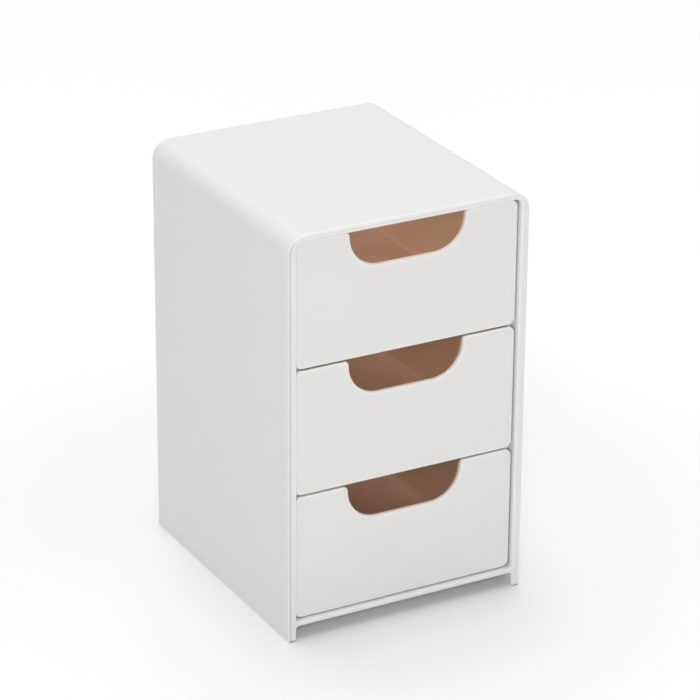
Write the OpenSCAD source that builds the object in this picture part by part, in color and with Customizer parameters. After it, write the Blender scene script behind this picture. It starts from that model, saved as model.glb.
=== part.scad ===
// Desktop mini drawers: a moulded casing on two skids with three sliding drawers.
// Millimetres. X is the width, the fronts face -Y, Z is up, and the origin is the middle of the base.

/* [Casing] */
// Width over the side walls
case_w = 80; // [60:1:140]
// Depth from the front rim to the back face
case_d = 90; // [70:1:160]
// Height from the ground to the top face
case_h = 130; // [112:1:200]
// Thickness of the side walls
wall = 2.7; // [2.2:0.1:3.5]
// Thickness of the top
top_t = 2.1; // [1.9:0.1:3.2]
// Thickness of the back wall
back_wall = 2; // [1.5:0.1:3]
// Outer radius where the top runs into the sides
shoulder_r = 5.7; // [4.8:0.1:6.6]
// Inner radius where it runs into them
ceiling_r = 2; // [1.6:0.1:2.4]
// Clear height under the raised bottom panel
skid_h = 4.7; // [3:0.1:9]
// Thickness of the bottom panel
panel_t = 1.6; // [1.4:0.1:3]
// Radius where the bottom panel's upper face meets the side walls
panel_r = 1; // [0.6:0.1:2.2]
// Radius where its lower face meets the skids
skid_root_r = 0.8; // [0.3:0.1:2.5]
// Rounding of the front rim's edges
rim_round = 0.6; // [0.3:0.1:1]
// Rounding of the edges at the back and under the skids
rear_round = 0.8; // [0.4:0.1:1.1]

/* [Runner ledges] */
// How far a ledge stands out from the side wall
ledge_w = 5.5; // [5:0.1:8]
// Thickness of a ledge
ledge_t = 1.2; // [1:0.1:2]
// Radius at the root of a ledge and on its free edge
ledge_r = 0.5; // [0.2:0.05:0.5]
// Radius of a ledge's front corner, which guides a tray in
ledge_nose_r = 3; // [1:0.5:4.5]

/* [Drawer fronts] */
// Thickness of a front
front_t = 1.3; // [1.1:0.1:2.5]
// How far the fronts stand back from the front rim
front_recess = 1.7; // [0.4:0.1:2.4]
// Rounding of a front's visible edges
front_round = 0.5; // [0.2:0.1:0.8]
// Radius of a front's corners
front_r = 2.4; // [2.2:0.1:4]

/* [Finger cut-out] */
// Width of the cut-out
cut_w = 38.5; // [26:0.5:44]
// Depth of the cut-out below the front's top edge
cut_depth = 11.8; // [8:0.1:16]
// Radius of the cut-out's lower corners
cut_r = 10.2; // [3:0.1:12]
// Radius where the cut-out's sides flare into the top edge
cut_flare_r = 1.6; // [1:0.1:3]

/* [Trays] */
// Thickness of a tray's walls
tray_wall = 1.2; // [1:0.1:2]
// Thickness of a tray's floor
tray_floor = 1.4; // [1:0.1:2.5]
// Outer radius along the bottom of a tray
tray_edge_r = 2.4; // [2.2:0.1:3.2]
// Outer radius of a tray's upright corners at the back
tray_corner_r = 5; // [3.5:0.5:8]
// Inner radius of a tray's upright corners at the front
bin_front_r = 2; // [2:0.5:4]
// Rounding of a tray's upper rim
tray_rim_round = 0.4; // [0.2:0.05:0.45]
// How far the tray's own cut-out lies behind the edge of the front's
cut_setback = 0.4; // [0.2:0.1:1]

/* [Pegs] */
// Radius of the pegs that hold a front to its tray
peg_r = 1.5; // [1:0.1:2]
// Distance of the pegs from the tray's sides
peg_side = 8; // [5:0.5:10]
// Height of the lower pegs above the tray's underside
peg_low = 8; // [6:0.5:10]
// Height of the upper pegs above the lower ones
peg_rise = 18; // [12:0.5:20]

/* [Drawer stops] */
// Radius of the round beads that stop a drawer before it falls out
bead_r = 1.2; // [1:0.05:1.3]
// How far a bead stands out
bead_out = 0.6; // [0.5:0.05:0.8]
// Length of a bead, upright
bead_h = 12; // [8:0.5:16]
// Distance of the casing's beads behind the ledges' front ends
bead_back = 3; // [2:0.5:6]
// Distance of a tray's beads from its back
tray_bead_back = 9; // [9:0.5:20]

/* [Clearances] */
// Gap under a drawer
gap_under = 0.2; // [0.1:0.05:0.3]
// Gap over a front
gap_over = 0.4; // [0.2:0.05:0.6]
// Gap between a front and each side wall
gap_side = 0.3; // [0.25:0.05:0.7]
// Gap between a bead and the wall it passes
gap_bead = 0.3; // [0.2:0.05:0.5]
// Least gap over a tray's rim
gap_rim = 0.6; // [0.5:0.1:1.5]
// Gap behind a closed tray
gap_back = 0.3; // [0.2:0.05:0.5]
// Gap between the fronts' backs and the ledges' front ends
gap_ledge = 0.6; // [0.4:0.1:2]
// Gap round a peg
gap_peg = 0.05; // [0.02:0.01:0.1]

/* [Hidden] */
$fn = 64;
over = 0.1;                                  // how far a cutter runs past the face it opens

front_y = -case_d / 2;                       // front rim
back_y = case_d / 2;                         // back face
room_w = case_w - 2 * wall;                  // width between the side walls
room_z = skid_h + panel_t;                   // top of the bottom panel
ceiling_z = case_h - top_t;                  // underside of the top
drawers = 3;
pitch = (ceiling_z - room_z) / drawers;      // from one drawer to the next

front_w = room_w - 2 * gap_side;
front_h = pitch - gap_under - gap_over;
front_face_y = front_y + front_recess;
front_back_y = front_face_y + front_t;

tray_w = room_w - 2 * (bead_out + gap_bead);
tray_d = back_y - back_wall - gap_back - front_back_y;
ledge_y = front_back_y + gap_ledge;

tray_h = pitch - gap_under - gap_rim - ledge_t;
bead_z = (tray_h - bead_h) / 2;              // foot of a bead above a tray's underside

// ---- outlines --------------------------------------------------------------------------------
// An outline is a list of corners [x, y, radius]. It runs with the material on its left, so a left
// turn is an outer corner and a right turn an inner one.

function spot(c, i) = let (p = c[(i + len(c)) % len(c)]) [p.x, p.y];
function heading(c, i) = let (d = spot(c, i + 1) - spot(c, i)) atan2(d.y, d.x);
function turn(c, i) = let (t = heading(c, i) - heading(c, i - 1)) t > 180 ? t - 360 : t < -180 ? t + 360 : t;
function ray(a) = [cos(a), sin(a)];
// Distance from corner i to where its arc begins and ends
function reach(c, i) = c[i][2] * tan(abs(turn(c, i)) / 2);
function arc_begin(c, i) = spot(c, i) - ray(heading(c, i - 1)) * reach(c, i);
function arc_end(c, i) = spot(c, i) + ray(heading(c, i)) * reach(c, i);
function arc_centre(c, i) = arc_begin(c, i) + ray(heading(c, i - 1) + 90 * sign(turn(c, i))) * c[i][2];

// What lies between corner i and its arc
module corner_scrap(c, i) {
    difference() {
        polygon([spot(c, i), arc_begin(c, i), arc_centre(c, i), arc_end(c, i)]);
        translate(arc_centre(c, i)) circle(c[i][2]);
    }
}

module outline(c) {
    rounded = [for (i = [0:len(c) - 1]) if (c[i][2] > 0) i];
    difference() {
        union() {
            polygon([for (p = c) [p.x, p.y]]);
            for (i = rounded) if (turn(c, i) < 0) corner_scrap(c, i);
        }
        for (i = rounded) if (turn(c, i) > 0) corner_scrap(c, i);
    }
}

// Section of what a rounded edge loses: x points out of the side face, y into the material
module edge_section(r) {
    difference() {
        translate([-r, -over]) square([r + over, r + over]);
        translate([-r, r]) circle(r);
    }
}

// Cutter that rounds the edge where an outline's prism meets z = 0, with the prism above it
module edge_cutter(c, r) {
    for (i = [0:len(c) - 1]) {
        j = (i + 1) % len(c);
        from = arc_end(c, i);
        to = arc_begin(c, j);
        if (norm(to - from) > 0.001)
            translate([to.x, to.y, 0]) rotate([90, 0, heading(c, i) - 90])
                linear_extrude(norm(to - from)) edge_section(r);
        at = arc_centre(c, i);
        if (c[i][2] > 0)
            translate([at.x, at.y, 0]) {
                if (turn(c, i) > 0)
                    rotate([0, 0, heading(c, i - 1) - 90])
                        rotate_extrude(angle = turn(c, i)) translate([c[i][2], 0]) edge_section(r);
                else
                    rotate([0, 0, heading(c, i) + 90])
                        rotate_extrude(angle = -turn(c, i)) translate([c[i][2], 0])
                            mirror([1, 0]) edge_section(r);
            }
    }
}

// The same outline walked the other way, for the edge of a hole
function reversed(c) = [for (i = [len(c) - 1:-1:0]) c[i]];

// A prism from z = 0 to h with rounded edges: r_low round its foot, r_high round its head
module soft_prism(c, h, r_low = 0, r_high = 0) {
    difference() {
        linear_extrude(h) outline(c);
        if (r_low > 0) edge_cutter(c, r_low);
        if (r_high > 0) translate([0, 0, h]) mirror([0, 0, 1]) edge_cutter(c, r_high);
    }
}

// Stands what is drawn flat upright: its x stays, its y becomes z, and its z becomes depth from y = 0
module upright() {
    mirror([0, 1, 0]) rotate([90, 0, 0]) children();
}

// Lifts a drawer, with z = 0 at its underside, to level k, counted from 0 at the bottom
module level(k) {
    translate([0, 0, room_z + k * pitch + gap_under]) children();
}

// ---- casing ----------------------------------------------------------------------------------

case_corners = [
    [-case_w / 2, 0, 0], [-room_w / 2, 0, 0],
    [-room_w / 2, skid_h, skid_root_r], [room_w / 2, skid_h, skid_root_r],
    [room_w / 2, 0, 0], [case_w / 2, 0, 0],
    [case_w / 2, case_h, shoulder_r], [-case_w / 2, case_h, shoulder_r]
];

mouth_corners = [
    [-room_w / 2, room_z, panel_r], [room_w / 2, room_z, panel_r],
    [room_w / 2, ceiling_z, ceiling_r], [-room_w / 2, ceiling_z, ceiling_r]
];

// The room behind the fronts is narrower at each pair of ledges
function ledge_side(z, side) = [
    [side * room_w / 2, z - ledge_t, ledge_r], [side * (room_w / 2 - ledge_w), z - ledge_t, ledge_r],
    [side * (room_w / 2 - ledge_w), z, ledge_r], [side * room_w / 2, z, ledge_r]
];
right_side = [for (k = [1:drawers - 1]) each ledge_side(room_z + k * pitch, 1)];
left_side = [for (k = [drawers - 1:-1:1]) each reversed(ledge_side(room_z + k * pitch, -1))];
room_corners = concat(
    [mouth_corners[0], mouth_corners[1]], right_side, [mouth_corners[2], mouth_corners[3]], left_side
);

// An upright round bead with round ends
module bead() {
    translate([0, 0, bead_r]) cylinder(r = bead_r, h = bead_h - 2 * bead_r);
    for (z = [bead_r, bead_h - bead_r]) translate([0, 0, z]) sphere(bead_r);
}

// What the ledges lose at their front corners
module ledge_noses() {
    tip = room_w / 2 - ledge_w;
    for (k = [1:drawers - 1], side = [0, 1])
        mirror([side, 0, 0]) translate([tip, ledge_y, room_z + k * pitch - ledge_t - over])
            linear_extrude(ledge_t + 2 * over) difference() {
                translate([-over, -over]) square(ledge_nose_r + over);
                translate([ledge_nose_r, ledge_nose_r]) circle(ledge_nose_r);
            }
}

module casing() {
    color("whitesmoke") {
        difference() {
            translate([0, front_y, 0]) upright() soft_prism(case_corners, case_d, rim_round, rear_round);
            translate([0, front_y, 0]) upright() edge_cutter(reversed(mouth_corners), rim_round);
            translate([0, front_y - over, 0]) upright()
                linear_extrude(ledge_y - front_y + over) outline(mouth_corners);
            translate([0, ledge_y - over, 0]) upright()
                linear_extrude(back_y - back_wall - ledge_y + over) outline(room_corners);
            ledge_noses();
        }
        for (k = [0:drawers - 1]) level(k)
            for (x = [-1, 1] * (room_w / 2 + bead_r - bead_out))
                translate([x, ledge_y + bead_back, bead_z]) bead();
    }
}

// ---- drawers ---------------------------------------------------------------------------------

// The corners of a finger cut-out in a top edge at height h, from right to left
function cut_corners(w, h, depth, r, flare) = let (r_low = min(r, depth - flare)) [
    [w / 2, h, flare], [w / 2, h - depth, r_low], [-w / 2, h - depth, r_low], [-w / 2, h, flare]
];

front_corners = concat(
    [[-front_w / 2, 0, front_r], [front_w / 2, 0, front_r], [front_w / 2, front_h, front_r]],
    cut_corners(cut_w, front_h, cut_depth, cut_r, cut_flare_r),
    [[-front_w / 2, front_h, front_r]]
);

// Places the four pegs, which point back from the joint between a front and its tray
module at_pegs() {
    for (x = [-1, 1] * (tray_w / 2 - peg_side), z = [peg_low, peg_low + peg_rise])
        translate([x, 0, z]) rotate([-90, 0, 0]) children();
}

// A front, with z = 0 at its lower edge
module drawer_front() {
    translate([0, front_face_y, 0]) upright() soft_prism(front_corners, front_t, front_round);
    translate([0, front_back_y, 0]) at_pegs()
        translate([0, 0, -over]) cylinder(r = peg_r, h = tray_wall + over);
}

// The tray's outside runs on past its front, where it is cut off flat
tray_nose = 2 * tray_edge_r;
tray_corners = [
    [-tray_w / 2, -tray_nose, tray_edge_r], [tray_w / 2, -tray_nose, tray_edge_r],
    [tray_w / 2, tray_d, tray_corner_r], [-tray_w / 2, tray_d, tray_corner_r]
];

bin_w = tray_w - 2 * tray_wall;
bin_edge_r = tray_edge_r - tray_wall;
bin_corners = [
    [-bin_w / 2, tray_wall, bin_front_r], [bin_w / 2, tray_wall, bin_front_r],
    [bin_w / 2, tray_d - tray_wall, tray_corner_r - tray_wall],
    [-bin_w / 2, tray_d - tray_wall, tray_corner_r - tray_wall]
];

// The tray's front wall, with a cut-out whose edges lie a little behind the front's
tray_cut_depth = tray_h - (front_h - cut_depth) + cut_setback;
tray_front_corners = concat(
    [[-tray_w / 2, 0, 0], [tray_w / 2, 0, 0], [tray_w / 2, tray_h, 0]],
    cut_corners(cut_w + 2 * cut_setback, tray_h, tray_cut_depth, cut_r + cut_setback, 0),
    [[-tray_w / 2, tray_h, 0]]
);

// A tray, with z = 0 at its underside
module tray() {
    translate([0, front_back_y, 0]) difference() {
        union() {
            soft_prism(tray_corners, tray_h, tray_edge_r, tray_rim_round);
            for (x = [-1, 1] * (tray_w / 2 + bead_out - bead_r))
                translate([x, tray_d - tray_bead_back, bead_z]) bead();
        }
        translate([-case_w / 2, -case_d, -over]) cube([case_w, case_d, tray_h + 2 * over]);
        translate([0, 0, tray_floor]) soft_prism(bin_corners, tray_h, bin_edge_r);
        translate([0, 0, tray_h]) mirror([0, 0, 1]) edge_cutter(reversed(bin_corners), tray_rim_round);
        translate([0, -over, 0]) upright() linear_extrude(tray_wall + 2 * over) difference() {
            translate([-bin_w / 2, tray_edge_r]) square([bin_w, tray_h]);
            outline(tray_front_corners);
        }
        at_pegs() translate([0, 0, -over]) cylinder(r = peg_r + gap_peg, h = tray_wall + 2 * over);
    }
}

module front_bottom() { color("whitesmoke") level(0) drawer_front(); }
module front_middle() { color("whitesmoke") level(1) drawer_front(); }
module front_top() { color("whitesmoke") level(2) drawer_front(); }
module tray_bottom() { color("peru") level(0) tray(); }
module tray_middle() { color("peru") level(1) tray(); }
module tray_top() { color("peru") level(2) tray(); }

casing();
front_bottom();
front_middle();
front_top();
tray_bottom();
tray_middle();
tray_top();
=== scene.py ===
# %% [markdown]
# # A desktop cabinet with three small drawers
# The cabinet is seven plastic mouldings: a white casing, three white fronts and three brown trays. They
# come in as finished solids, each at its real size and place, so no shape is left to make here. What a
# solid lacks is its finish. This lesson gives each moulding its plastic, stands the cabinet on a pale
# table and lights it softly. It begins with the solids, because later cells measure from them.

# %% Load the solids
import math

import bmesh
import bpy
from mathutils import Matrix, Vector


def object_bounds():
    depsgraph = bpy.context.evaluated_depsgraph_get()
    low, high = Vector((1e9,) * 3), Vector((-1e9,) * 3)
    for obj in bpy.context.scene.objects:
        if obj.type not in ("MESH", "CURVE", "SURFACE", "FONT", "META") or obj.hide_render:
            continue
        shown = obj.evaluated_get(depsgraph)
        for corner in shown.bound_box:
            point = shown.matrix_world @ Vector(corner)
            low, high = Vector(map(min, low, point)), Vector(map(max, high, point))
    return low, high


MM = 0.001

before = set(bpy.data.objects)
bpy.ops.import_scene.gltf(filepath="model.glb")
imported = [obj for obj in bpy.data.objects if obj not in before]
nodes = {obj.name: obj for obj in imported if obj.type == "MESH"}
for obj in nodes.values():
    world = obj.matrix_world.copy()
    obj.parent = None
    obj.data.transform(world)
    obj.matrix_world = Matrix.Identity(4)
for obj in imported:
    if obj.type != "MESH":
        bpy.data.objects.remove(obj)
solid_low, solid_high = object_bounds()

# %% [markdown]
# ## Camera
# A small product is shown with a long lens from a step away, so that its edges stay nearly parallel. The
# camera is described as one would place it by hand: how far round, how high, how far away, and how far
# the aim lies off the middle of the cabinet. A Track To constraint could aim it, but the three axes of its
# matrix are easy to work out from those numbers, and the lamps can be aimed in the same way.

# %% Camera
CAMERA_ROUND = math.radians(-28.76)
CAMERA_HEIGHT = math.radians(23.777)
CAMERA_ROLL = math.radians(0.416)
CAMERA_AWAY = 1.0388  # metres
CAMERA_ASIDE = 4.16 * MM
CAMERA_RAISED = 4.35 * MM
LENS_MM = 174.49
SENSOR_MM = 36


def direction(round_angle, height_angle):
    """A unit vector away from the cabinet: 0 round is straight in front, positive is to the right."""
    level = math.cos(height_angle)
    return Vector((math.sin(round_angle) * level, -math.cos(round_angle) * level, math.sin(height_angle)))


def aim(back, roll=0.0):
    """The turn, as a matrix, of a camera or lamp that looks along -back."""
    across = back.cross(Vector((0, 0, -1))).normalized()
    upward = back.cross(across)
    turned = Matrix.Rotation(roll, 3, back)
    return Matrix((turned @ across, turned @ upward, back)).transposed()


middle = (solid_low + solid_high) / 2
camera_turn = aim(direction(CAMERA_ROUND, CAMERA_HEIGHT), CAMERA_ROLL)
camera_place = middle + camera_turn @ Vector((CAMERA_ASIDE, CAMERA_RAISED, CAMERA_AWAY))

camera_data = bpy.data.cameras.new("camera")
camera_data.lens = LENS_MM
camera_data.sensor_width = SENSOR_MM
camera = bpy.data.objects.new("camera", camera_data)
camera.matrix_world = Matrix.Translation(camera_place) @ camera_turn.to_4x4()
bpy.context.scene.collection.objects.link(camera)
bpy.context.scene.camera = camera
bpy.context.scene.view_settings.view_transform = "Standard"
print("camera at", [round(v, 3) for v in camera_place], "with a lens of", LENS_MM, "mm")

# %% [markdown]
# ## Two helpers for shader nodes
# A finish is a web of nodes. Written out by hand, each node takes four lines: one to add it, one to set
# it and two to link it. These helpers do that in one line. An input that is given the output of another
# node is linked to it, and any other value is set on the socket.

# %% Node helpers


def put(tree, kind, inputs=None, **settings):
    """Adds a node of this kind, changes its settings, and sets or links the inputs that are named."""
    node = tree.nodes.new("ShaderNode" + kind)
    for name, value in settings.items():
        setattr(node, name, value)
    for name, value in (inputs or {}).items():
        if isinstance(value, bpy.types.NodeSocket):
            tree.links.new(value, node.inputs[name])
        else:
            node.inputs[name].default_value = value
    return node


def maths(tree, operation, *terms):
    """Adds a Math node on numbers or outputs, and gives its output."""
    return put(tree, "Math", dict(enumerate(terms)), operation=operation).outputs["Value"]


print("node helpers made")

# %% [markdown]
# ## Surroundings
# A product stands in a white room, so white is what its gloss mirrors and what is seen past the table.
# As a light, the room is dimmer than that, because most of the light comes from lamps. Real white walls
# would stand in the way of some views, so one world shader does both jobs: its strength is 1, which is
# white, wherever it is looked at, and lower as a light.

# %% Surroundings
ROOM_LIGHT = 0.333


def looked_at(tree):
    """1 for a ray from the camera, also by way of a mirror or glass, and 0 for one that gathers light."""
    path = put(tree, "LightPath").outputs
    by_mirror = maths(tree, "MAXIMUM", path["Is Camera Ray"], path["Is Glossy Ray"])
    return maths(tree, "MAXIMUM", by_mirror, path["Is Transmission Ray"])


world = bpy.data.worlds.new("white_room")
bpy.context.scene.world = world
world.use_nodes = True
room = world.node_tree.nodes["Background"]
room.inputs["Color"].default_value = (1, 1, 1, 1)
seen_or_light = maths(world.node_tree, "MULTIPLY_ADD", looked_at(world.node_tree), 1 - ROOM_LIGHT, ROOM_LIGHT)
world.node_tree.links.new(seen_or_light, room.inputs["Strength"])
print("the room lights at", ROOM_LIGHT, "of white")

# %% [markdown]
# ## Lamps
# The light is soft and comes from three places. A wide panel overhead lights the top and the table. A
# window behind throws the shadow to the front, and a small panel by the camera lifts the side and the
# fronts. The far ones are suns with a wide disc, which light near and far alike, and the near one is a
# square panel. Seen from behind, the top would mirror that panel as a patch of glare, so it is hidden from
# gloss. Its light stays. Multiple importance sampling is off, so that lamps' light comes by shadow rays
# alone, which the plastics below make use of.

# %% Lamps
SUN_AWAY = 1.0  # a sun lights alike from anywhere, so this only keeps it off the cabinet


def hang(name, data, back, away):
    """Puts a lamp in the scene at this distance from the middle of the cabinet, facing it."""
    data.cycles.use_multiple_importance_sampling = False
    lamp = bpy.data.objects.new(name, data)
    lamp.matrix_world = Matrix.Translation(middle + back * away) @ aim(back).to_4x4()
    bpy.context.scene.collection.objects.link(lamp)
    print(name, "lamp, energy", round(data.energy, 3))
    return lamp


def far_panel(name, round_deg, height_deg, spread_deg, strength):
    """A sun with a wide disc: its light is soft, and as strong near the cabinet as far from it."""
    data = bpy.data.lights.new(name, "SUN")
    data.angle = math.radians(spread_deg)
    data.energy = strength
    hang(name, data, direction(math.radians(round_deg), math.radians(height_deg)), SUN_AWAY)


def near_panel(name, round_deg, height_deg, away, width, watts):
    """A square panel this far away, in metres. Its light falls off from near to far, and gloss skips it."""
    data = bpy.data.lights.new(name, "AREA")
    data.shape = "SQUARE"
    data.size = width
    data.energy = watts
    panel = hang(name, data, direction(math.radians(round_deg), math.radians(height_deg)), away)
    panel.visible_glossy = False


far_panel("overhead", round_deg=0, height_deg=89.9, spread_deg=60, strength=1.31)
far_panel("window", round_deg=170, height_deg=60, spread_deg=50, strength=0.58)
near_panel("beside_camera", round_deg=-28.76, height_deg=23.8, away=1.2, width=0.3, watts=3.92)

# %% [markdown]
# ## Table
# The table only has to be pale and to hold the shadow. It is a sheet of matt white card, wide enough to
# fill every view. Card under soft light is a little short of white. Stronger lamps would mend that and
# burn out the cabinet, so the card has a faint glow instead, which grows with the distance from the
# cabinet and leaves the shadow as it is. The glow shows only where the card is looked at: it adds no
# light to the cabinet.

# %% Table
TABLE_WIDTH = 12.0  # metres
CARD_COLOUR = (0.9, 0.9, 0.9, 1)
CARD_ROUGHNESS = 0.9
GLOW_STARTS = 75 * MM
GLOW_IS_FULL = 220 * MM
FULL_GLOW = 0.13


def card_finish():
    """Matt white card, with a glow that grows with the distance from the cabinet."""
    material = bpy.data.materials.new("white_card")
    material.use_nodes = True
    tree = material.node_tree
    place = put(tree, "TexCoord").outputs["Object"]
    distance = put(tree, "VectorMath", {0: place}, operation="LENGTH").outputs["Value"]
    ramp = {"Value": distance, "From Min": GLOW_STARTS, "From Max": GLOW_IS_FULL, "To Max": FULL_GLOW}
    glow = put(tree, "MapRange", ramp, interpolation_type="SMOOTHSTEP").outputs["Result"]
    card = tree.nodes["Principled BSDF"]
    card.inputs["Base Color"].default_value = CARD_COLOUR
    card.inputs["Roughness"].default_value = CARD_ROUGHNESS
    card.inputs["Specular IOR Level"].default_value = 0.0
    card.inputs["Emission Color"].default_value = (1, 1, 1, 1)
    tree.links.new(maths(tree, "MULTIPLY", glow, looked_at(tree)), card.inputs["Emission Strength"])
    return material


table_shape = bmesh.new()
bmesh.ops.create_grid(table_shape, x_segments=1, y_segments=1, size=TABLE_WIDTH / 2)
table_mesh = bpy.data.meshes.new("table")
table_shape.to_mesh(table_mesh)
table_shape.free()
table_mesh.materials.append(card_finish())
table = bpy.data.objects.new("table", table_mesh)
bpy.context.scene.collection.objects.link(table)
print("table", TABLE_WIDTH, "m wide, at the height of the cabinet's feet")

# %% [markdown]
# ## What moulded plastic looks like
# A moulding copies its steel mould, and the mould of a household part is seldom polished: sparks have
# eaten it to a fine, even pebble. That gives the satin look. A few effects make the difference between
# such plastic and a flat colour, and all three plastics share them, each with its own values. Each effect
# is a node group, made once, with one output.

# %% Effect groups


def effect(name, values, result, kind="Float"):
    """An empty node group with these inputs, each with its usual value, and one output of this kind."""
    group = bpy.data.node_groups.new(name, "ShaderNodeTree")
    for socket, usual in values.items():
        given = group.interface.new_socket(name=socket, in_out="INPUT", socket_type="NodeSocketFloat")
        given.default_value = usual
    group.interface.new_socket(name=result, in_out="OUTPUT", socket_type="NodeSocket" + kind)
    return group, group.nodes.new("NodeGroupInput").outputs, group.nodes.new("NodeGroupOutput").inputs[result]


def noise(tree, size, detail=2.0, stretch=None):
    """Noise from 0 to 1 in lumps of this size in metres, a number or an output."""
    place = put(tree, "TexCoord").outputs["Object"]
    if stretch:
        place = put(tree, "Mapping", {"Vector": place, "Scale": stretch}).outputs["Vector"]
    settings = {"Vector": place, "Scale": maths(tree, "DIVIDE", 1.0, size), "Detail": detail}
    return put(tree, "TexNoise", settings).outputs["Fac"]


print("effect helpers made")

# %% [markdown]
# The pebble is noise with lumps a quarter of a millimetre across and a few thousandths deep. Under it
# runs a slower wave, because no moulded wall is quite flat. A Displace modifier could raise such lumps,
# but only on a mesh of millions of faces. So both are given as a height in metres, which a Bump node
# turns into shading.

# %% Pebble
WAVE_LENGTH = 18 * MM

usual = {"Size": 0.25 * MM, "Depth": 0.004 * MM, "Waviness": 0.03 * MM}
pebble, given, made = effect("pebble", usual, "Height")
lumps = maths(pebble, "MULTIPLY", noise(pebble, given["Size"]), given["Depth"])
wave = maths(pebble, "MULTIPLY", noise(pebble, WAVE_LENGTH, detail=1.0), given["Waviness"])
pebble.links.new(maths(pebble, "ADD", lumps, wave), made)
print("pebble group made")

# %% [markdown]
# The melt runs up the walls from the gate under the base, and where it froze early the pebble is copied
# less sharply. So the gloss varies in soft upright streaks, a few hundredths either way, with a finer
# mottle on top. Painted streaks would need the pieces unwrapped first. Noise that is stretched upwards
# doesn't.

# %% Flow of the melt
STREAK_WIDTH = 9 * MM
FOUR_TIMES_AS_TALL = (1, 1, 0.25)
MOTTLE_SIZE = 1.2 * MM
STREAK_SHARE = 0.65

flow, given, made = effect("melt_flow", {"Middle": 0.45, "Swing": 0.08}, "Roughness")
streaks = noise(flow, STREAK_WIDTH, stretch=FOUR_TIMES_AS_TALL)
mottle = noise(flow, MOTTLE_SIZE)
shared = maths(flow, "MULTIPLY", streaks, STREAK_SHARE)
both = maths(flow, "MULTIPLY_ADD", mottle, 1 - STREAK_SHARE, shared)
centred = maths(flow, "SUBTRACT", both, 0.5)
flow.links.new(maths(flow, "MULTIPLY_ADD", centred, given["Swing"], given["Middle"]), made)
print("melt flow group made")

# %% [markdown]
# A moulding has to leave its mould, so its upright walls lean a little, and what faces sideways catches
# some of the light from above. Its edges are eased too, further than their radius says, and the rim reads
# as one soft curve that picks up the white room. The solids are drawn plainer than that, and neither would
# show in the outline. So both are left to the shading: a Bevel node eases the normal, and that of upright
# faces is tipped up.

# %% Draft and eased edges


def facing(tree, which="Normal"):
    """The x, y and z of the surface's normal, or of its True Normal, which no smoothing has changed."""
    return put(tree, "SeparateXYZ", {"Vector": put(tree, "NewGeometry").outputs[which]}).outputs


eased, given, made = effect("eased_form", {"Ease": 0.5 * MM, "Lean": 0.0}, "Normal", "Vector")
is_upright = maths(eased, "SUBTRACT", 1.0, maths(eased, "ABSOLUTE", facing(eased)["Z"]))
tip = maths(eased, "MULTIPLY", is_upright, given["Lean"])
upwards = put(eased, "CombineXYZ", {"Z": tip}).outputs["Vector"]
softened = put(eased, "Bevel", {"Radius": given["Ease"]}, samples=8).outputs["Normal"]
leaning = put(eased, "VectorMath", {0: softened, 1: upwards}, operation="ADD").outputs["Vector"]
eased.links.new(put(eased, "VectorMath", {0: leaning}, operation="NORMALIZE").outputs["Vector"], made)
print("eased form group made")

# %% [markdown]
# Hands and drawers rub the edges smoother, and the edges are painted paler too, which is a painted
# highlight. Geometry's Pointiness finds edges on a mesh of small faces, but these solids have long thin ones.
# The Bevel node finds them on any mesh: it gives the normal that the surface would have if its edges were
# rounded off, and where that differs from the surface's own there is an edge. The mask is broken up with
# noise, so that the highlight is uneven.

# %% Painted highlight on edges
PATCH_SIZE = 5 * MM


def along(tree, value, low, high, start=0.0, end=1.0):
    """Start while the value is below low, end once it is above high, and an even slope in between."""
    ramp = {"Value": value, "From Min": low, "From Max": high, "To Min": start, "To Max": end}
    return put(tree, "MapRange", ramp).outputs["Result"]


# The mask paints a highlight on the edges and polishes them.
edge_highlight_group, given, made = effect("edge_highlight_and_polish", {"Reach": 1.4 * MM, "Contrast": 25.0}, "Edge")
softened = put(edge_highlight_group, "Bevel", {"Radius": given["Reach"]}, samples=6).outputs["Normal"]
own_normal = put(edge_highlight_group, "NewGeometry").outputs["Normal"]
agreement = put(edge_highlight_group, "VectorMath", {0: softened, 1: own_normal}, operation="DOT_PRODUCT").outputs["Value"]
turned_away = maths(edge_highlight_group, "MULTIPLY", maths(edge_highlight_group, "SUBTRACT", 1.0, agreement), given["Contrast"])
patches = along(edge_highlight_group, noise(edge_highlight_group, PATCH_SIZE), low=0.3, high=0.6, start=0.5)
edge = put(edge_highlight_group, "Math", {0: turned_away, 1: patches}, operation="MULTIPLY", use_clamp=True)
edge_highlight_group.links.new(edge.outputs["Value"], made)
print("rubbed edges group made")

# %% [markdown]
# Dust settles only on what faces up, and it lies in a thin, broken film. It could be painted on by hand,
# but a mask made from the normal fits every piece at once: it is the upward part of the normal times a
# clouded noise.

# %% Settled dust
CLOUD_SIZE = 2.5 * MM

dust, given, made = effect("settled_dust", {"Cover": 0.05}, "Dust")
faces_up = along(dust, facing(dust)["Z"], low=0.55, high=0.95)
clouds = along(dust, noise(dust, CLOUD_SIZE, detail=6.0), low=0.35, high=0.75)
film = maths(dust, "MULTIPLY", faces_up, clouds)
dust.links.new(maths(dust, "MULTIPLY", film, given["Cover"]), made)
print("settled dust group made")

# %% [markdown]
# A tray's floor is painted darker than its walls, as shade, a little more here than there. A second
# material on the floor's faces would end in a line where the wall curves up. A mask made from the normal
# comes in slowly over that curve.

# %% Painted shade on the floor
FLOOR_PATCH_SIZE = 14 * MM
LEAST_FLOOR_SHADE = 0.85

# The group marks where a floor is painted darker, as shade.
floor_shade_group, given, made = effect("painted_floor_shade", {"Wear": 0.0}, "ShadedFloor")
is_floor = along(floor_shade_group, facing(floor_shade_group)["Z"], low=0.15, high=0.82)
floor_patches = along(floor_shade_group, noise(floor_shade_group, FLOOR_PATCH_SIZE, detail=4.0), low=0.25, high=0.75, start=LEAST_FLOOR_SHADE)
floor_shade_mask = maths(floor_shade_group, "MULTIPLY", is_floor, floor_patches)
floor_shade_group.links.new(maths(floor_shade_group, "MULTIPLY", floor_shade_mask, given["Wear"]), made)
print("used floor group made")
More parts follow.
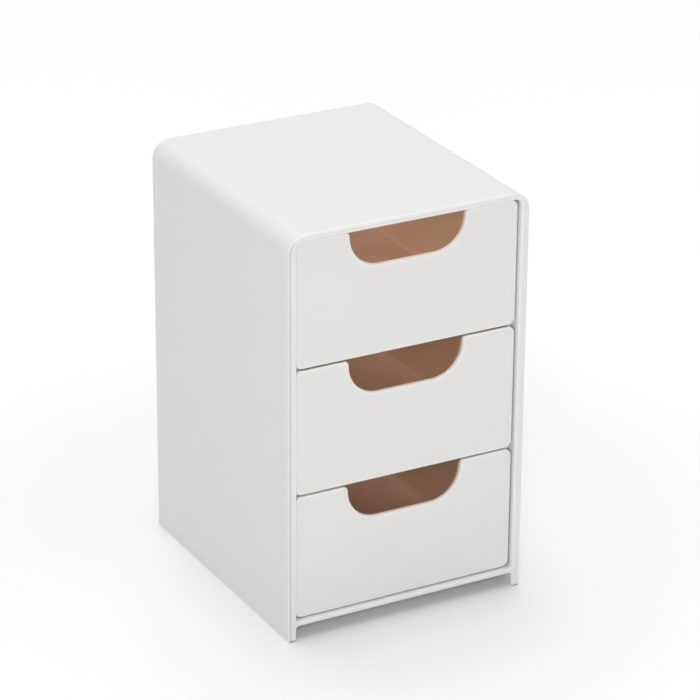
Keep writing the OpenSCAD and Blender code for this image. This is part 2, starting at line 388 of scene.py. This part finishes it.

# %% [markdown]
# Each gap round a drawer front is painted dark, as shade. The painted shade reaches further on level faces,
# such as the fronts' top edges, and further in the upper gaps than in the lower ones. The ends of things
# deep inside, such as the casing's ledges, have an amount of their own. The gaps needn't be written down one
# by one, because the Ambient Occlusion node tells how open each place is: 1 on a free face, a half in a
# right-angled corner, and little in a gap. Shade painted on any face needs a narrower place than shade
# painted on a level one.

# %% Painted shade in gaps
LOW_GAP, HIGH_GAP = 30 * MM, 85 * MM
LOW_SHARE = 0.45


def fading(tree, value, low, high):
    """1 while the value is below low and 0 once it is above high."""
    return along(tree, value, low, high, start=1.0, end=0.0)


def position(tree):
    """The x, y and z of the place on the piece, in metres."""
    return put(tree, "SeparateXYZ", {"Vector": put(tree, "TexCoord").outputs["Object"]}).outputs


usual = {"Reach": 1.5 * MM, "Amount": 0.5, "On Level": 1.0, "On Ends": 0.0}
gap_shade_group, given, made = effect("painted_gap_shade", usual, "GapShade")
# The group paints shade: a dark colour where a place is closed in.
openness = put(gap_shade_group, "AmbientOcclusion", {"Distance": given["Reach"]}, samples=6).outputs["AO"]
shade_in_narrow_places = maths(gap_shade_group, "MULTIPLY", fading(gap_shade_group, openness, low=0.15, high=0.42), given["Amount"])
shade_in_wider_places = fading(gap_shade_group, openness, low=0.25, high=0.60)
way = facing(gap_shade_group)
reach = along(gap_shade_group, position(gap_shade_group)["Z"], LOW_GAP, HIGH_GAP, start=LOW_SHARE)
on_level = maths(gap_shade_group, "MULTIPLY", reach, given["On Level"])
level = maths(gap_shade_group, "MULTIPLY", along(gap_shade_group, way["Z"], low=0.2, high=0.8), on_level)
ends = maths(gap_shade_group, "MULTIPLY", fading(gap_shade_group, way["Y"], low=-0.8, high=-0.2), given["On Ends"])
shade_on_level_and_ends = maths(gap_shade_group, "MULTIPLY", shade_in_wider_places, maths(gap_shade_group, "MAXIMUM", level, ends))
gap_shade_group.links.new(maths(gap_shade_group, "MAXIMUM", shade_in_narrow_places, shade_on_level_and_ends), made)
print("gap grime group made")

# %% [markdown]
# The casing's mould opens at the front rim. Its two halves sit a little out of line, which leaves a groove
# as fine as a hair up the left side of the rim, just inside its outer edge, and nothing on the right. It
# fades on its way over the shoulder. Cut into the solid, so fine a groove would only make slivers, so it is
# a mask, which will lower the height and darken the colour, a painted shade of the groove. Seen from the
# front, the casing is a rounded rectangle, and there the distance from its outline is the shoulder's
# radius less the distance from the middle of the shoulder's arc.

# %% Parting line
SHOULDER_R = 5.7 * MM

parting, given, made = effect("parting_line", {"Inset": 0.5 * MM, "Width": 0.5 * MM}, "Groove")
seat = position(parting)
to_the_left = maths(parting, "SUBTRACT", solid_low.x + SHOULDER_R, seat["X"])
upwards = maths(parting, "SUBTRACT", seat["Z"], solid_high.z - SHOULDER_R)
beyond = {"X": maths(parting, "MAXIMUM", to_the_left, 0.0), "Y": maths(parting, "MAXIMUM", upwards, 0.0)}
spoke = put(parting, "CombineXYZ", beyond).outputs["Vector"]
from_arc_middle = put(parting, "VectorMath", {0: spoke}, operation="LENGTH").outputs["Value"]
from_outline = maths(parting, "SUBTRACT", SHOULDER_R, from_arc_middle)
off_line = maths(parting, "ABSOLUTE", maths(parting, "SUBTRACT", from_outline, given["Inset"]))
line = fading(parting, maths(parting, "DIVIDE", off_line, given["Width"]), low=0.2, high=0.7)
upright = along(parting, maths(parting, "DIVIDE", beyond["X"], from_arc_middle), low=0.5, high=0.95)
on_rim = fading(parting, facing(parting)["Y"], low=-0.6, high=-0.2)
up_the_side = maths(parting, "MULTIPLY", line, upright)
parting.links.new(maths(parting, "MULTIPLY", up_the_side, on_rim), made)
print("parting line group made")

# %% [markdown]
# ## Plastic as a material
# Two more helpers put the effects to use. One places a group in a material, and the other mixes two
# colours by a mask.

# %% Placing and mixing


def place_effect(tree, group, **values):
    """Places a node group with its own values, and gives its output. An underscore stands for a space."""
    node = tree.nodes.new("ShaderNodeGroup")
    node.node_tree = group
    for name, value in values.items():
        node.inputs[name.replace("_", " ")].default_value = value
    return node.outputs[0]


def blended(tree, share, first, second):
    """Mixes two colours by a share that changes over the surface."""
    node = put(tree, "Mix", {"Factor": share}, data_type="RGBA")
    for socket, colour in (("A_Color", first), ("B_Color", second)):
        target = next(i for i in node.inputs if i.identifier == socket)
        if isinstance(colour, bpy.types.NodeSocket):
            tree.links.new(colour, target)
        else:
            target.default_value = colour
    return next(o for o in node.outputs if o.identifier == "Result_Color")


print("placing and mixing helpers made")

# %% [markdown]
# Three materials made one by one would soon drift apart, so one function joins the effects to a Principled
# shader for all of them. The colour is mixed in turn: the plain colour, a lighter one on the edges, which
# is a painted highlight, a darker one on a tray's floor and in the parting line, which is painted shade, a
# grey where dust lies, and a dark one in the gaps, which is painted shade too. The gloss is the melt's,
# sharper on edges and duller under dust.

# %% Plastic
DUST_COLOUR = (0.62, 0.60, 0.57, 1)
# The dark colour of painted shade, in the gaps and in the parting line's groove.
PAINTED_SHADE_COLOUR = (0.10, 0.095, 0.085, 1)
DUST_ROUGHNESS = 0.25
EDGE_POLISH = -0.10
# How much painted shade darkens the parting line's groove.
GROOVE_SHADE = 0.35
GROOVE_DEPTH = 0.02 * MM


def plastic(
    name,
    colour,
    edge_highlight_colour,
    roughness,
    swing,
    pebble_depth,
    dust_cover,
    ease,
    lean=0.0,
    floor_shade_colour=None,
    parted=False,
    gap_shade_values=None,
):
    """A satin plastic, with lengths in metres. The edge colour is a painted highlight. Of the last three, the
    first is a tray's floor colour, which is painted shade, the second adds the parting line, and the third
    gives the painted shade in the gaps values of its own."""
    material = bpy.data.materials.new(name)
    material.use_nodes = True
    tree = material.node_tree
    shader = tree.nodes["Principled BSDF"]
    highlit_polished_edges = place_effect(tree, edge_highlight_group)
    dust_mask = place_effect(tree, dust, Cover=dust_cover)
    gloss = place_effect(tree, flow, Middle=roughness, Swing=swing)
    height = place_effect(tree, pebble, Depth=pebble_depth)

    # Painted highlight: the edges are paler.
    tint = blended(tree, highlit_polished_edges, (*colour, 1), (*edge_highlight_colour, 1))
    if floor_shade_colour:
        # Painted shade: a tray's floor is darker.
        tint = blended(tree, place_effect(tree, floor_shade_group, Wear=1.0), tint, (*floor_shade_colour, 1))
    if parted:
        groove = place_effect(tree, parting)
        # Painted shade: the groove is darker.
        tint = blended(tree, maths(tree, "MULTIPLY", groove, GROOVE_SHADE), tint, PAINTED_SHADE_COLOUR)
        height = maths(tree, "MULTIPLY_ADD", groove, -GROOVE_DEPTH, height)
    tint = blended(tree, dust_mask, tint, DUST_COLOUR)
    # Painted shade: the gaps are darker.
    painted_gap_shade_mask = place_effect(tree, gap_shade_group, **(gap_shade_values or {}))
    tree.links.new(blended(tree, painted_gap_shade_mask, tint, PAINTED_SHADE_COLOUR), shader.inputs["Base Color"])
    polished = maths(tree, "MULTIPLY_ADD", highlit_polished_edges, EDGE_POLISH, gloss)
    dulled = maths(tree, "MULTIPLY_ADD", dust_mask, DUST_ROUGHNESS, polished)
    tree.links.new(dulled, shader.inputs["Roughness"])
    smooth = place_effect(tree, eased, Ease=ease, Lean=lean)
    bump = put(tree, "Bump", {"Height": height, "Distance": 1.0, "Strength": 1.0, "Normal": smooth})
    tree.links.new(bump.outputs["Normal"], shader.inputs["Normal"])
    print(name, "made of", len(tree.nodes), "nodes")
    return material


print("plastic helper made")

# %% [markdown]
# ## Light through thin walls
# A pale wall two millimetres thick isn't opaque. Held to a lamp it glows, and that is why the inside of
# such a cabinet is never black. True scattering inside the wall would take very many rays, so it is
# stood for by a simple rule: a ray that asks whether a lamp can be seen gets through the wall, a little
# weaker for each face that it crosses. Every other ray finds the wall solid. A Mix Shader whose factor
# is Light Path's Is Shadow Ray does it, and the colour of its Transparent side says how much gets
# through. Low down and in the thick rim nothing does, so the shadow on the table keeps its strength.

# %% Light through thin walls
ANYWHERE = -1.0  # metres, lower and further forward than any piece


def let_lamps_through(material, upright, level, above=ANYWHERE, behind=ANYWHERE):
    """Sets the share of the lamps' light that an upright or a level face lets through, as a colour. It
    holds above a height and behind a depth, and elsewhere nothing gets through."""
    tree = material.node_tree
    shader = tree.nodes["Principled BSDF"]
    finish = next(n for n in tree.nodes if n.type == "OUTPUT_MATERIAL")
    lies_level = maths(tree, "ABSOLUTE", facing(tree, "True Normal")["Z"])
    place = position(tree)
    passes = blended(tree, lies_level, (*upright, 1), (*level, 1))
    is_high = maths(tree, "GREATER_THAN", place["Z"], above)
    is_thin = maths(tree, "MULTIPLY", is_high, maths(tree, "GREATER_THAN", place["Y"], behind))
    weakened = put(tree, "VectorMath", {0: passes, "Scale": is_thin}, operation="SCALE").outputs["Vector"]
    through = put(tree, "BsdfTransparent", {"Color": weakened})
    choose = put(tree, "MixShader", {"Fac": put(tree, "LightPath").outputs["Is Shadow Ray"]})
    tree.links.new(shader.outputs["BSDF"], choose.inputs[1])
    tree.links.new(through.outputs["BSDF"], choose.inputs[2])
    tree.links.new(choose.outputs["Shader"], finish.inputs["Surface"])
    print(f"{material.name}: red light through an upright face {upright[0]:.1%}, a level face {level[0]:.1%}")


print("thin wall helper made")

# %% [markdown]
# ## The three plastics
# The casing and the fronts are the same white, but they come from two moulds and are a touch apart. The
# casing is the larger moulding, with the rounder edges, the deeper pebble and the parting line. Its painted
# shade in the gaps lies mostly on the ends of its ledges. Its base and its rim let no light through.

# %% Casing white
BASE_TOP = 10 * MM
RIM_BACK = -40 * MM

# The lighter edge colour is a painted highlight, and the values for the gaps set the painted shade there.
casing_white = plastic(
    "casing_white",
    colour=(0.80, 0.795, 0.785),
    edge_highlight_colour=(0.89, 0.885, 0.875),
    roughness=0.45,
    swing=0.08,
    pebble_depth=0.004 * MM,
    dust_cover=0.06,
    ease=0.6 * MM,
    parted=True,
    gap_shade_values={"Amount": 0.1, "On_Level": 0.0, "On_Ends": 1.0},
)
let_lamps_through(
    casing_white,
    upright=(0.985, 0.985, 0.985),
    level=(0.93, 0.93, 0.93),
    above=BASE_TOP,
    behind=RIM_BACK,
)

# %% [markdown]
# The fronts are a shade yellower and a little glossier, with a shallower pebble. Only the parts of them that
# are well above the table let light through.

# %% Front white
LOWEST_FRONT_LIT = 30 * MM

# The lighter edge colour is a painted highlight.
front_white = plastic(
    "front_white",
    colour=(0.805, 0.80, 0.785),
    edge_highlight_colour=(0.90, 0.895, 0.88),
    roughness=0.42,
    swing=0.08,
    pebble_depth=0.003 * MM,
    dust_cover=0.03,
    ease=0.4 * MM,
)
let_lamps_through(
    front_white,
    upright=(0.93, 0.93, 0.93),
    level=(0.80, 0.80, 0.80),
    above=LOWEST_FRONT_LIT,
)

# %% [markdown]
# The trays are a warm brown, moulded in the same satin. Their walls lean, so that they leave a deep mould,
# and their floors are a darker brown, which is painted shade. Brown plastic lets more red through than
# blue, so what light gets into a tray through its walls is warm.

# %% Tray brown
TRAY_LEAN = 0.32

# The lighter edge colour is a painted highlight, and the darker floor colour is painted shade.
tray_brown = plastic(
    "tray_brown",
    colour=(0.705, 0.49, 0.345),
    edge_highlight_colour=(0.735, 0.53, 0.395),
    roughness=0.45,
    swing=0.10,
    pebble_depth=0.004 * MM,
    dust_cover=0.04,
    ease=0.3 * MM,
    lean=TRAY_LEAN,
    floor_shade_colour=(0.335, 0.182, 0.114),
    gap_shade_values={"On_Level": 0.0},
)
let_lamps_through(tray_brown, upright=(0.98, 0.965, 0.955), level=(0.63, 0.61, 0.59))

# %% [markdown]
# Each solid then takes its plastic by what it is: the kind is the first word of its name, so a fourth
# drawer would be dressed without a change here.

# %% Dress the solids
finishes = {"casing": casing_white, "front": front_white, "tray": tray_brown}
for name, piece in nodes.items():
    kind = name.split("_")[0]
    piece.data.materials.clear()
    piece.data.materials.append(finishes[kind])
    print(f"{name:13s} is {finishes[kind].name}")
